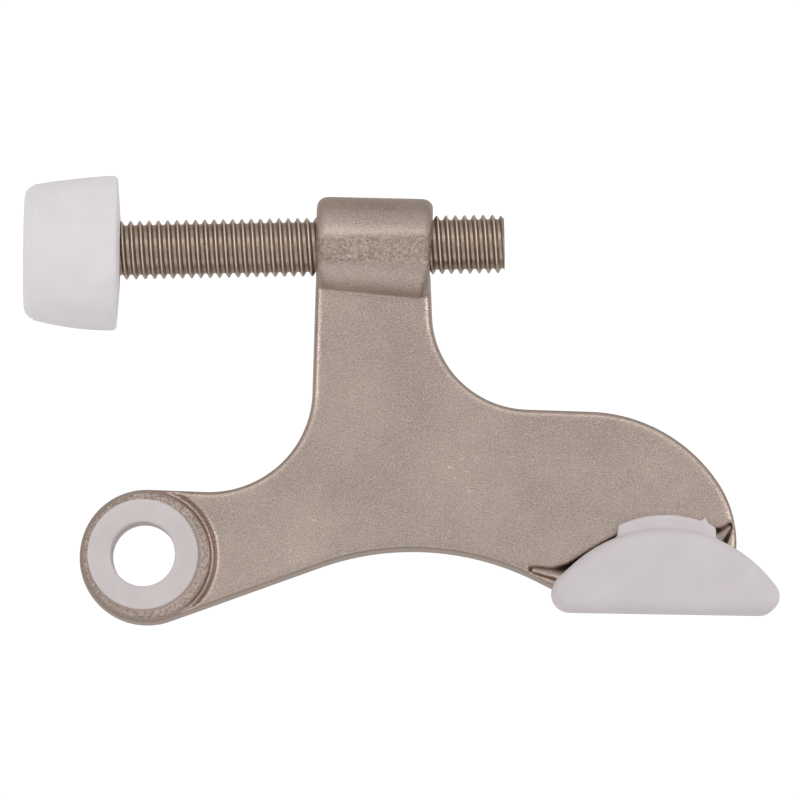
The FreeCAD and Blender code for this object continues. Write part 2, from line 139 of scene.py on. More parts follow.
@dataclass(frozen=True)
class Outline:
    """A closed outline that runs anticlockwise round its stretches, like a belt round pulleys."""

    stretches: tuple[Stretch, ...]
    facet: float = 0.5

    def grown(self, by: float) -> Outline:
        """The outline moved outwards by this many millimetres."""
        return Outline(tuple(stretch.grown(by) for stretch in self.stretches), self.facet)

    @staticmethod
    def _run(first: Stretch, second: Stretch) -> tuple[Vector, Vector]:
        """Find the straight run between two stretches.

        Args:
            first: The stretch the run leaves.
            second: The stretch the run meets.

        Returns:
            The points where the run starts and ends.
        """
        span = second.centre - first.centre
        swing = second.reach - first.reach
        run = math.sqrt(max(span.length**2 - swing**2, 0.0))
        heading = math.atan2(span.y, span.x) - math.atan2(swing, run)
        left = Vector((-math.sin(heading), math.cos(heading), 0.0))
        return first.centre - left * first.reach, second.centre - left * second.reach

    def draw(self, mesh: bmesh.types.BMesh, closed: bool = True) -> list[bmesh.types.BMEdge]:
        """Draw the outline as edges in the XY plane, turning a vertex about each round stretch's centre.

        Args:
            mesh: The mesh to draw in.
            closed: Whether the last point is joined to the first.

        Returns:
            The new edges.
        """
        count = len(self.stretches)
        runs = [self._run(self.stretches[i - 1], self.stretches[i]) for i in range(count)]
        ends: list[tuple[bmesh.types.BMVert, bmesh.types.BMVert]] = []
        for i, stretch in enumerate(self.stretches):
            arrives = runs[i][1]
            leaves = runs[(i + 1) % count][0]
            start = mesh.verts.new(arrives * MM)
            last = start
            if stretch.radius:
                from_centre = arrives - stretch.centre
                to_centre = leaves - stretch.centre
                turn = stretch.bend.value * (
                    math.atan2(to_centre.y, to_centre.x) - math.atan2(from_centre.y, from_centre.x)
                )
                turn %= 2 * math.pi
                steps = max(2, math.ceil(turn * stretch.radius / self.facet))
                steps = max(steps, math.ceil(turn / math.radians(15)))
                swept = bmesh.ops.spin(
                    mesh,
                    geom=[start],
                    cent=stretch.centre * MM,
                    axis=(0.0, 0.0, 1.0),
                    angle=turn * stretch.bend.value,
                    steps=steps,
                    use_duplicate=False,
                )
                last = next(item for item in swept["geom_last"] if isinstance(item, bmesh.types.BMVert))
            ends.append((start, last))
        for i in range(count if closed else count - 1):
            here, there = ends[i][1], ends[(i + 1) % count][0]
            if (here.co - there.co).length > CLOSE:
                mesh.edges.new((here, there))
        bmesh.ops.remove_doubles(mesh, verts=list(mesh.verts), dist=CLOSE)
        return [edge for edge in mesh.edges if not edge.link_faces]


def new_object(name: str, mesh: bmesh.types.BMesh) -> bpy.types.Object:
    """Turn a finished bmesh into an object at the origin, with its faces pointing outwards.

    Args:
        name: The object's name.
        mesh: The bmesh, which is freed.

    Returns:
        The new object, linked to the scene.
    """
    bmesh.ops.recalc_face_normals(mesh, faces=list(mesh.faces))
    data = bpy.data.meshes.new(name)
    mesh.to_mesh(data)
    mesh.free()
    made = bpy.data.objects.new(name, data)
    bpy.context.scene.collection.objects.link(made)
    return made


def apply_modifiers(piece: bpy.types.Object) -> None:
    """Bake a piece's modifiers into its mesh.

    Args:
        piece: The piece.
    """
    bpy.context.view_layer.update()
    settled = piece.evaluated_get(bpy.context.evaluated_depsgraph_get())
    data = bpy.data.meshes.new_from_object(settled)
    old = piece.data
    piece.modifiers.clear()
    piece.data = data
    bpy.data.meshes.remove(old)


def combine(piece: bpy.types.Object, tool: bpy.types.Object, join: Join) -> None:
    """Add a tool's solid to a piece or cut it away, and remove the tool.

    Args:
        piece: The piece that is changed.
        tool: The solid that is added or cut away.
        join: Which of the two.
    """
    worked = piece.modifiers.new("worked", "BOOLEAN")
    worked.object = tool
    worked.operation = join.value
    worked.solver = "EXACT"
    apply_modifiers(piece)
    bpy.data.objects.remove(tool)


def prism(
    name: str, outline: Outline, bottom: float, height: float, draft: float = 0.0, rounding: float = 0.0
) -> bpy.types.Object:
    """Raise an outline into a solid, with its wall drafted inwards and its two rims rounded.

    Args:
        name: The object's name.
        outline: The outline at the bottom.
        bottom: The level of the bottom.
        height: The height of the solid.
        draft: How far the wall leans inwards over the whole height.
        rounding: The radius of the rounding along both rims, or 0 for sharp rims.

    Returns:
        The solid.
    """
    mesh = bmesh.new()
    edges = outline.draw(mesh)
    bmesh.ops.translate(mesh, verts=list(mesh.verts), vec=(0.0, 0.0, bottom * MM))
    face = bmesh.ops.contextual_create(mesh, geom=edges)["faces"][0]
    if face.normal.z < 0:
        face.normal_flip()
    lower_rim = list(face.edges)
    raised = bmesh.ops.extrude_face_region(mesh, geom=[face])
    risen = [item for item in raised["geom"] if isinstance(item, bmesh.types.BMVert)]
    bmesh.ops.translate(mesh, verts=risen, vec=(0.0, 0.0, height * MM))
    top = next(item for item in raised["geom"] if isinstance(item, bmesh.types.BMFace))
    open_rim = [edge for edge in mesh.edges if len(edge.link_faces) == 1]
    bmesh.ops.holes_fill(mesh, edges=open_rim, sides=0)
    if draft:
        lean_in(top, draft)
    if rounding:
        rims = set(top.edges) | {edge for edge in lower_rim if edge.is_valid}
        bmesh.ops.bevel(
            mesh,
            geom=list(rims),
            offset=rounding * MM,
            offset_type="OFFSET",
            segments=4,
            profile=0.5,
            affect="EDGES",
            material=-1,
        )
    return new_object(name, mesh)


def lean_in(top: bmesh.types.BMFace, by: float) -> None:
    """Move the corners of a level face inwards, square to its rim.

    Args:
        top: The face.
        by: How far inwards, in millimetres.
    """
    moves: list[tuple[bmesh.types.BMVert, Vector]] = []
    up = Vector((0.0, 0.0, math.copysign(1.0, top.normal.z or 1.0)))
    for loop in top.loops:
        before = (loop.vert.co - loop.link_loop_prev.vert.co).normalized()
        after = (loop.link_loop_next.vert.co - loop.vert.co).normalized()
        inwards = up.cross((before + after).normalized())
        moves.append((loop.vert, inwards * by * MM))
    for corner, move in moves:
        corner.co += move


def turned(
    name: str,
    outline: Outline,
    plane: Plane,
    axis: tuple[float, float, float],
    closed: bool = True,
    steps: int = 96,
) -> bpy.types.Object:
    """Turn a section a full turn about an axis through the origin.

    Args:
        name: The object's name.
        outline: The section, drawn in the XY plane with its first coordinate along X.
        plane: The plane that the section is then brought to.
        axis: The axis it is turned about.
        closed: Whether the section is a closed ring clear of the axis, or open with both ends on it.
        steps: The number of flats round the axis.

    Returns:
        The turned solid.
    """
    mesh = bmesh.new()
    outline.draw(mesh, closed)
    bmesh.ops.transform(mesh, matrix=plane.value, verts=list(mesh.verts))
    bmesh.ops.spin(
        mesh,
        geom=list(mesh.verts) + list(mesh.edges),
        cent=(0.0, 0.0, 0.0),
        axis=axis,
        angle=2 * math.pi,
        steps=steps,
        use_merge=True,
        use_duplicate=False,
    )
    bmesh.ops.remove_doubles(mesh, verts=list(mesh.verts), dist=CLOSE)
    return new_object(name, mesh)


def move_mesh(piece: bpy.types.Object, matrix: Matrix) -> None:
    """Move a piece's mesh by a matrix, and leave its object at the origin."""
    piece.data.transform(matrix)
    piece.data.update()


def soften(piece: bpy.types.Object, voxel: float, rounds: int, keep: float) -> None:
    """Melt a piece's corners as casting and plating do: remesh it evenly, smooth it and thin it out again.

    Args:
        piece: The piece.
        voxel: The remesh's cell, in millimetres.
        rounds: The number of smoothing rounds.
        keep: The share of the faces that is kept at the end.
    """
    even = piece.modifiers.new("even", "REMESH")
    even.mode = "VOXEL"
    even.voxel_size = voxel * MM
    even.use_smooth_shade = True
    apply_modifiers(piece)
    mesh = bmesh.new()
    mesh.from_mesh(piece.data)
    for _ in range(rounds):
        bmesh.ops.smooth_vert(
            mesh, verts=list(mesh.verts), factor=0.5, use_axis_x=True, use_axis_y=True, use_axis_z=True
        )
    mesh.to_mesh(piece.data)
    mesh.free()
    thinner = piece.modifiers.new("thinner", "DECIMATE")
    thinner.ratio = keep
    apply_modifiers(piece)
    piece.data.shade_smooth()


def shade_by_angle(piece: bpy.types.Object, degrees: float) -> None:
    """Shade a piece smooth, except across edges sharper than an angle.

    Args:
        piece: The piece.
        degrees: The angle.
    """
    piece.data.shade_smooth()
    mesh = bmesh.new()
    mesh.from_mesh(piece.data)
    for edge in mesh.edges:
        if len(edge.link_faces) == 2:
            edge.smooth = edge.calc_face_angle(0.0) < math.radians(degrees)
    mesh.to_mesh(piece.data)
    mesh.free()


@dataclass(frozen=True)
class Tone:
    """A linear colour."""

    red: float
    green: float
    blue: float

    @property
    def rgba(self) -> tuple[float, float, float, float]:
        """The colour as a node socket takes it."""
        return (self.red, self.green, self.blue, 1.0)


@dataclass(frozen=True)
class PlatedFinish:
    """Nickel plate over metal: its tones, gloss and grain, where it is rough, its ring of painted
    highlight and its painted crevice shade.
    """

    name: str
    light: Tone
    dark: Tone
    # Bright tone of the painted highlight in the ring.
    highlighted: Tone
    # Dark tone for the darker hollows of the coarse skin and for the painted crevice shade.
    darkening_and_painted_shade: Tone
    roughness: float
    grain_size: float
    grain_height: float
    pit_size: float
    pit_height: float
    # Share of the dark tone that the painted shade reaches in the deepest crevices.
    crevice: float
    axis_point: tuple[float, float, float]
    across: tuple[float, float, float]
    # Inner edge, full strength and outer edge of the ring that gets painted highlight and rough skin.
    ring_from: float
    ring_full: float
    ring_to: float
    # How strongly the ring is lightened as painted highlight.
    highlighted_share: float
    # How far the coarse skin's hollows are darkened.
    hollow_darkening: float = 0.0
    band_y: float = 200.0
    band_half: float = 1.0


@dataclass(frozen=True)
class MouldedFinish:
    """A moulded white rubber or nylon: its tones, its gloss and the mould's texture."""

    name: str
    light: Tone
    dark: Tone
    roughness: float = 0.55
    grain_size: float = 0.25
    grain_height: float = 0.004
    glow: float = 0.12


def add_frame(tree: bpy.types.NodeTree, label: str, nodes: list[bpy.types.Node]) -> None:
    """Group nodes in a frame that names their effect.

    Args:
        tree: The node tree.
        label: What the nodes do.
        nodes: The nodes.
    """
    frame = tree.nodes.new("NodeFrame")
    frame.label = label
    for node in nodes:
        node.parent = frame


def plated_metal(finish: PlatedFinish) -> bpy.types.Material:
    """Make a nickel plate with cast grain, sparse pits, painted shade in its crevices and a ring of
    painted highlight round an axis.

    Args:
        finish: The finish's tones, sizes and ring of painted highlight.

    Returns:
        The material.
    """
    material = bpy.data.materials.new(finish.name)
    material.use_nodes = True
    tree = material.node_tree
    nodes, links = tree.nodes, tree.links
    nodes.clear()

    where = nodes.new("ShaderNodeTexCoord")
    where.label = "Place on the piece"
    where.location = (-2100, 0)

    # Painted highlight ring: how far a point is from the axis, and whether it lies in the ring, which also
    # gets rough skin.
    from_axis = nodes.new("ShaderNodeVectorMath")
    from_axis.label = "From the axis"
    from_axis.location = (-1860, 820)

    square_to = nodes.new("ShaderNodeVectorMath")
    square_to.label = "Square to the axis"
    square_to.location = (-1680, 820)

    radius = nodes.new("ShaderNodeVectorMath")
    radius.label = "Distance from the axis"
    radius.location = (-1500, 820)

    rising = nodes.new("ShaderNodeMapRange")
    rising.label = "Wear begins"
    rising.location = (-1320, 900)

    ending = nodes.new("ShaderNodeMath")
    ending.label = "Wear ends"
    ending.location = (-1320, 640)

    ring = nodes.new("ShaderNodeMath")
    ring.label = "Worn ring"
    ring.location = (-1140, 820)

    apart = nodes.new("ShaderNodeSeparateXYZ")
    apart.label = "Across the arm"
    apart.location = (-1860, 420)

    off_band = nodes.new("ShaderNodeMath")
    off_band.label = "Distance from the band"
    off_band.location = (-1680, 420)

    either_side = nodes.new("ShaderNodeMath")
    either_side.label = "Either side of it"
    either_side.location = (-1500, 420)

    band = nodes.new("ShaderNodeMapRange")
    band.label = "Rough band"
    band.location = (-1320, 420)

    rough = nodes.new("ShaderNodeMath")
    rough.label = "Ring or band"
    rough.location = (-960, 700)

    cloud = nodes.new("ShaderNodeTexNoise")
    cloud.label = "Cloudy plating"
    cloud.location = (-1320, 120)

    speck = nodes.new("ShaderNodeTexNoise")
    speck.label = "Fine speckle"
    speck.location = (-1320, -140)

    mottle = nodes.new("ShaderNodeMix")
    mottle.label = "Clouds and speckle together"
    mottle.location = (-1080, 100)

    tone = nodes.new("ShaderNodeValToRGB")
    tone.label = "Dark to light plate"
    tone.location = (-860, 300)

    # Painted highlight: the plate's colour is lightened towards the bright tone in the ring.
    highlighted_share = nodes.new("ShaderNodeMath")
    highlighted_share.label = "How far the wear shows"
    highlighted_share.location = (-860, 560)

    highlighted = nodes.new("ShaderNodeMix")
    highlighted.label = "Rubbed bright"
    highlighted.location = (-560, 420)

    # Painted shade: ambient occlusion darkens the plate's colour in its crevices, grooves and thread
    # valleys.
    crevice = nodes.new("ShaderNodeAmbientOcclusion")
    crevice.label = "Crevices"
    crevice.location = (-800, 780)

    crevice_share = nodes.new("ShaderNodeMapRange")
    crevice_share.label = "How dark a crevice gets"
    crevice_share.location = (-560, 700)

    # Painted shade: the colour is mixed towards the dark tone where the crevices are.
    darkening_and_painted_shade = nodes.new("ShaderNodeMix")
    darkening_and_painted_shade.label = "Dull crevices"
    darkening_and_painted_shade.location = (-320, 420)

    # Darker in the hollows of the coarse skin, only where the ring or the band makes it rough.
    hollow_darkening = nodes.new("ShaderNodeMapRange")
    hollow_darkening.label = "Dark in the coarse skin's hollows"
    hollow_darkening.location = (-1080, -300)

    hollow_darkening_share = nodes.new("ShaderNodeMath")
    hollow_darkening_share.label = "Only where rough"
    hollow_darkening_share.location = (-800, -120)

    hollows_darkened = nodes.new("ShaderNodeMix")
    hollows_darkened.label = "Stained skin"
    hollows_darkened.location = (-440, 560)

    gloss = nodes.new("ShaderNodeMapRange")
    gloss.label = "Uneven gloss"
    gloss.location = (-560, 100)

    coarse = nodes.new("ShaderNodeTexNoise")
    coarse.label = "Coarse cast skin"
    coarse.location = (-1320, -400)

    pits = nodes.new("ShaderNodeTexVoronoi")
    pits.label = "Scattered pits"
    pits.location = (-1320, -660)

    pit_shape = nodes.new("ShaderNodeMapRange")
    pit_shape.label = "Small round pits"
    pit_shape.location = (-1080, -660)

    # Rough skin in the ring and in the band.
    skin_share = nodes.new("ShaderNodeMapRange")
    skin_share.label = "Rough where worn"
    skin_share.location = (-800, -340)

    pit_gate = nodes.new("ShaderNodeMapRange")
    pit_gate.label = "Pits only in patches"
    pit_gate.location = (-800, -560)

    grain_relief = nodes.new("ShaderNodeBump")
    grain_relief.label = "Cast grain"
    grain_relief.location = (-560, -160)

    skin_relief = nodes.new("ShaderNodeBump")
    skin_relief.label = "Coarse skin"
    skin_relief.location = (-380, -260)

    pit_relief = nodes.new("ShaderNodeBump")
    pit_relief.label = "Pits"
    pit_relief.location = (-200, -360)

    surface = nodes.new("ShaderNodeBsdfPrincipled")
    surface.label = "Satin plate"
    surface.location = (0, 200)

    output = nodes.new("ShaderNodeOutputMaterial")
    output.label = "Onto the plated piece"
    output.location = (320, 200)

    # Frame of the ring that gets painted highlight.
    add_frame(tree, "Where it is worn", [from_axis, square_to, radius, rising, ending, ring, highlighted_share])
    add_frame(tree, "Where it is rough", [apart, off_band, either_side, band, rough, skin_share])
    add_frame(tree, "Plate colour", [cloud, speck, mottle, tone, highlighted, hollow_darkening, hollow_darkening_share, hollows_darkened])
    # Frame of the painted crevice shade.
    add_frame(tree, "Crevices", [crevice, crevice_share, darkening_and_painted_shade])
    add_frame(tree, "Gloss", [gloss])
    add_frame(tree, "Relief", [coarse, pits, pit_shape, pit_gate, grain_relief, skin_relief, pit_relief])

    from_axis.operation = "SUBTRACT"
    from_axis.inputs[1].default_value = tuple(part * MM for part in finish.axis_point)
    square_to.operation = "MULTIPLY"
    square_to.inputs[1].default_value = finish.across
    radius.operation = "LENGTH"
    rising.interpolation_type = "SMOOTHSTEP"
    rising.inputs["From Min"].default_value = finish.ring_from * MM
    rising.inputs["From Max"].default_value = finish.ring_full * MM
    ending.operation = "LESS_THAN"
    ending.inputs[1].default_value = finish.ring_to * MM
    ring.operation = "MULTIPLY"
    off_band.operation = "SUBTRACT"
    off_band.inputs[1].default_value = finish.band_y * MM
    either_side.operation = "ABSOLUTE"
    band.interpolation_type = "SMOOTHSTEP"
    band.inputs["From Min"].default_value = finish.band_half * 1.3 * MM
    band.inputs["From Max"].default_value = finish.band_half * 0.7 * MM
    rough.operation = "MAXIMUM"
    cloud.inputs["Scale"].default_value = 75.0
    cloud.inputs["Detail"].default_value = 5.0
    cloud.inputs["Roughness"].default_value = 0.65
    speck.inputs["Scale"].default_value = 1.0 / (finish.grain_size * MM)
    speck.inputs["Detail"].default_value = 3.0
    speck.inputs["Roughness"].default_value = 0.6
    mottle.data_type = "FLOAT"
    mottle.inputs["Factor"].default_value = 0.82
    tone.color_ramp.elements[0].position = 0.36
    tone.color_ramp.elements[0].color = finish.dark.rgba
    tone.color_ramp.elements[1].position = 0.64
    tone.color_ramp.elements[1].color = finish.light.rgba
    # Painted highlight in the ring.
    highlighted_share.operation = "MULTIPLY"
    highlighted_share.inputs[1].default_value = finish.highlighted_share
    highlighted.data_type = "RGBA"
    highlighted.inputs["B"].default_value = finish.highlighted.rgba
    # Painted shade: how far the occlusion looks and how dark the crevices are painted.
    crevice.inputs["Distance"].default_value = 1.1 * MM
    crevice.samples = 8
    crevice_share.inputs["From Min"].default_value = 0.3
    crevice_share.inputs["From Max"].default_value = 0.9
    crevice_share.inputs["To Min"].default_value = finish.crevice
    crevice_share.inputs["To Max"].default_value = 0.0
    darkening_and_painted_shade.data_type = "RGBA"
    darkening_and_painted_shade.inputs["B"].default_value = finish.darkening_and_painted_shade.rgba
    hollow_darkening.inputs["From Min"].default_value = 0.58
    hollow_darkening.inputs["From Max"].default_value = 0.42
    hollow_darkening.inputs["To Min"].default_value = finish.hollow_darkening * 0.15
    hollow_darkening.inputs["To Max"].default_value = finish.hollow_darkening
    hollow_darkening_share.operation = "MULTIPLY"
    hollows_darkened.data_type = "RGBA"
    hollows_darkened.inputs["B"].default_value = finish.darkening_and_painted_shade.rgba
    gloss.inputs["From Min"].default_value = 0.3
    gloss.inputs["From Max"].default_value = 0.7
    gloss.inputs["To Min"].default_value = finish.roughness - 0.06
    gloss.inputs["To Max"].default_value = finish.roughness + 0.08
    coarse.inputs["Scale"].default_value = 0.4 / (finish.grain_size * MM)
    coarse.inputs["Detail"].default_value = 4.0
    coarse.inputs["Roughness"].default_value = 0.7
    pits.inputs["Scale"].default_value = 1.0 / (finish.pit_size * MM)
    pit_shape.interpolation_type = "SMOOTHSTEP"
    pit_shape.inputs["From Min"].default_value = 0.04
    pit_shape.inputs["From Max"].default_value = 0.2
    skin_share.inputs["To Min"].default_value = 0.1
    pit_gate.inputs["From Min"].default_value = 0.52
    pit_gate.inputs["From Max"].default_value = 0.62
    grain_relief.inputs["Strength"].default_value = 1.0
    grain_relief.inputs["Distance"].default_value = finish.grain_height * MM
    skin_relief.inputs["Distance"].default_value = finish.grain_height * 8.0 * MM
    pit_relief.inputs["Distance"].default_value = finish.pit_height * MM
    surface.inputs["Metallic"].default_value = 1.0

    links.new(where.outputs["Object"], from_axis.inputs[0])
    links.new(from_axis.outputs["Vector"], square_to.inputs[0])
    links.new(square_to.outputs["Vector"], radius.inputs[0])
    links.new(radius.outputs["Value"], rising.inputs["Value"])
    links.new(radius.outputs["Value"], ending.inputs[0])
    links.new(rising.outputs["Result"], ring.inputs[0])
    links.new(ending.outputs["Value"], ring.inputs[1])
    links.new(where.outputs["Object"], apart.inputs["Vector"])
    links.new(apart.outputs["Y"], off_band.inputs[0])
    links.new(off_band.outputs["Value"], either_side.inputs[0])
    links.new(either_side.outputs["Value"], band.inputs["Value"])
    links.new(ring.outputs["Value"], rough.inputs[0])
    links.new(band.outputs["Result"], rough.inputs[1])
    links.new(where.outputs["Object"], cloud.inputs["Vector"])
    links.new(where.outputs["Object"], speck.inputs["Vector"])
    links.new(where.outputs["Object"], coarse.inputs["Vector"])
    links.new(where.outputs["Object"], pits.inputs["Vector"])
    links.new(cloud.outputs["Fac"], mottle.inputs["A"])
    links.new(speck.outputs["Fac"], mottle.inputs["B"])
    links.new(mottle.outputs["Result"], tone.inputs["Fac"])
    # Painted highlight lightens the colour in the ring.
    links.new(ring.outputs["Value"], highlighted_share.inputs[0])
    links.new(highlighted_share.outputs["Value"], highlighted.inputs["Factor"])
    links.new(tone.outputs["Color"], highlighted.inputs["A"])
    # The coarse skin's hollows are darkened inside the ring and band.
    links.new(coarse.outputs["Fac"], hollow_darkening.inputs["Value"])
    links.new(hollow_darkening.outputs["Result"], hollow_darkening_share.inputs[0])
    links.new(rough.outputs["Value"], hollow_darkening_share.inputs[1])
    links.new(hollow_darkening_share.outputs["Value"], hollows_darkened.inputs["Factor"])
    links.new(highlighted.outputs["Result"], hollows_darkened.inputs["A"])
    links.new(hollows_darkened.outputs["Result"], darkening_and_painted_shade.inputs["A"])
    # Painted crevice shade darkens the base colour.
    links.new(crevice.outputs["AO"], crevice_share.inputs["Value"])
    links.new(crevice_share.outputs["Result"], darkening_and_painted_shade.inputs["Factor"])
    links.new(darkening_and_painted_shade.outputs["Result"], surface.inputs["Base Color"])
    links.new(cloud.outputs["Fac"], gloss.inputs["Value"])
    links.new(gloss.outputs["Result"], surface.inputs["Roughness"])
    links.new(pits.outputs["Distance"], pit_shape.inputs["Value"])
    links.new(rough.outputs["Value"], skin_share.inputs["Value"])
    links.new(skin_share.outputs["Result"], skin_relief.inputs["Strength"])
    links.new(cloud.outputs["Fac"], pit_gate.inputs["Value"])
    links.new(pit_gate.outputs["Result"], pit_relief.inputs["Strength"])
    links.new(speck.outputs["Fac"], grain_relief.inputs["Height"])
    links.new(coarse.outputs["Fac"], skin_relief.inputs["Height"])
    links.new(pit_shape.outputs["Result"], pit_relief.inputs["Height"])
    links.new(grain_relief.outputs["Normal"], skin_relief.inputs["Normal"])
    links.new(skin_relief.outputs["Normal"], pit_relief.inputs["Normal"])
    links.new(pit_relief.outputs["Normal"], surface.inputs["Normal"])
    links.new(surface.outputs["BSDF"], output.inputs["Surface"])
    return material


def moulded_white(finish: MouldedFinish) -> bpy.types.Material:
    """Make a matt moulded white with a faint mould texture.

    Args:
        finish: The finish's tones and sizes.

    Returns:
        The material.
    """
    material = bpy.data.materials.new(finish.name)
    material.use_nodes = True
    tree = material.node_tree
    nodes, links = tree.nodes, tree.links
    nodes.clear()

    where = nodes.new("ShaderNodeTexCoord")
    where.label = "Place on the piece"
    where.location = (-1200, 0)

    cloud = nodes.new("ShaderNodeTexNoise")
    cloud.label = "Faint clouding"
    cloud.location = (-960, 240)

    tone = nodes.new("ShaderNodeValToRGB")
    tone.label = "Off-white tones"
    tone.location = (-700, 240)

    gloss = nodes.new("ShaderNodeMapRange")
    gloss.label = "Uneven gloss"
    gloss.location = (-440, 60)

    grain = nodes.new("ShaderNodeTexNoise")
    grain.label = "Mould texture"
    grain.location = (-960, -160)

    relief = nodes.new("ShaderNodeBump")
    relief.label = "Matt relief"
    relief.location = (-440, -160)

    surface = nodes.new("ShaderNodeBsdfPrincipled")
    surface.label = "Moulded white"
    surface.location = (-120, 160)

    output = nodes.new("ShaderNodeOutputMaterial")
    output.label = "Onto the moulded piece"
    output.location = (200, 160)

    add_frame(tree, "Colour", [cloud, tone])
    add_frame(tree, "Gloss and relief", [gloss, grain, relief])

    cloud.inputs["Scale"].default_value = 220.0
    cloud.inputs["Detail"].default_value = 4.0
    tone.color_ramp.elements[0].position = 0.3
    tone.color_ramp.elements[0].color = finish.dark.rgba
    tone.color_ramp.elements[1].position = 0.7
    tone.color_ramp.elements[1].color = finish.light.rgba
    gloss.inputs["From Min"].default_value = 0.3
    gloss.inputs["From Max"].default_value = 0.7
    gloss.inputs["To Min"].default_value = finish.roughness - 0.05
    gloss.inputs["To Max"].default_value = finish.roughness + 0.05
    grain.inputs["Scale"].default_value = 1.0 / (finish.grain_size * MM)
    grain.inputs["Detail"].default_value = 2.0
    relief.inputs["Strength"].default_value = 1.0
    relief.inputs["Distance"].default_value = finish.grain_height * MM
    surface.inputs["Subsurface Weight"].default_value = finish.glow
    surface.inputs["Subsurface Radius"].default_value = (1.0, 0.9, 0.9)
    surface.inputs["Subsurface Scale"].default_value = 1.2 * MM

    links.new(where.outputs["Object"], cloud.inputs["Vector"])
    links.new(where.outputs["Object"], grain.inputs["Vector"])
    links.new(cloud.outputs["Fac"], tone.inputs["Fac"])
    links.new(tone.outputs["Color"], surface.inputs["Base Color"])
    links.new(cloud.outputs["Fac"], gloss.inputs["Value"])
    links.new(gloss.outputs["Result"], surface.inputs["Roughness"])
    links.new(grain.outputs["Fac"], relief.inputs["Height"])
    links.new(relief.outputs["Normal"], surface.inputs["Normal"])
    links.new(surface.outputs["BSDF"], output.inputs["Surface"])
    return material


def white_table(seen: float, mirror_image: float, bounced: float) -> bpy.types.Material:
    """Make a burnt-out white table that glows by a different amount for each kind of ray.

    Args:
        seen: How bright it is to the camera.
        mirror_image: How bright it is in a mirror image, with a warm cast.
        bounced: How much light it throws back at the stop.

    Returns:
        The material.
    """
    material = bpy.data.materials.new("white_table")
    material.use_nodes = True
    tree = material.node_tree
    nodes, links = tree.nodes, tree.links
    nodes.clear()

    ray = nodes.new("ShaderNodeLightPath")
    ray.label = "What the ray is for"
    ray.location = (-640, 240)

    bounce = nodes.new("ShaderNodeEmission")
    bounce.label = "Light thrown back at the stop"
    bounce.location = (-400, -60)

    mirrored = nodes.new("ShaderNodeEmission")
    mirrored.label = "Mirrored in the plate"
    mirrored.location = (-400, -220)

    white = nodes.new("ShaderNodeEmission")
    white.label = "Burnt-out white"
    white.location = (-400, -380)

    gloss_mix = nodes.new("ShaderNodeMixShader")
    gloss_mix.label = "Bounce or mirror image"
    gloss_mix.location = (-160, 0)

    seen_mix = nodes.new("ShaderNodeMixShader")
    seen_mix.label = "Seen directly"
    seen_mix.location = (40, 60)

    output = nodes.new("ShaderNodeOutputMaterial")
    output.label = "Onto the table"
    output.location = (240, 60)

    add_frame(tree, "How bright it glows", [bounce, mirrored, white])
    add_frame(tree, "For which ray", [ray, gloss_mix, seen_mix])

    bounce.inputs["Strength"].default_value = bounced
    mirrored.inputs["Color"].default_value = (1.0, 0.93, 0.88, 1.0)
    mirrored.inputs["Strength"].default_value = mirror_image
    white.inputs["Strength"].default_value = seen

    links.new(ray.outputs["Is Glossy Ray"], gloss_mix.inputs["Fac"])
    links.new(bounce.outputs["Emission"], gloss_mix.inputs[1])
    links.new(mirrored.outputs["Emission"], gloss_mix.inputs[2])
    links.new(ray.outputs["Is Camera Ray"], seen_mix.inputs["Fac"])
    links.new(gloss_mix.outputs["Shader"], seen_mix.inputs[1])
    links.new(white.outputs["Emission"], seen_mix.inputs[2])
    links.new(seen_mix.outputs["Shader"], output.inputs["Surface"])
    return material


def dress(piece: bpy.types.Object, material: bpy.types.Material) -> None:
    """Give a whole piece one material.

    Args:
        piece: The piece.
        material: The material.
    """
    if piece.data.materials:
        for index in range(len(piece.data.materials)):
            piece.material_slots[index].material = material
    else:
        piece.data.materials.append(material)


def hand_over(
    piece: bpy.types.Object, name: str, material: bpy.types.Material, body: str, node: str
) -> None:
    """Name a finished piece, dress it, tie it to its body and hide the node it replaces.

    Args:
        piece: The piece.
        name: Its final name.
        material: Its material.
        body: The body it rides on.
        node: The node it replaces.
    """
    piece.name = name
    dress(piece, material)
    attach(piece, body)
    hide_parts(node)
    LOG.info("%s: %d faces", piece.name, len(piece.data.polygons))


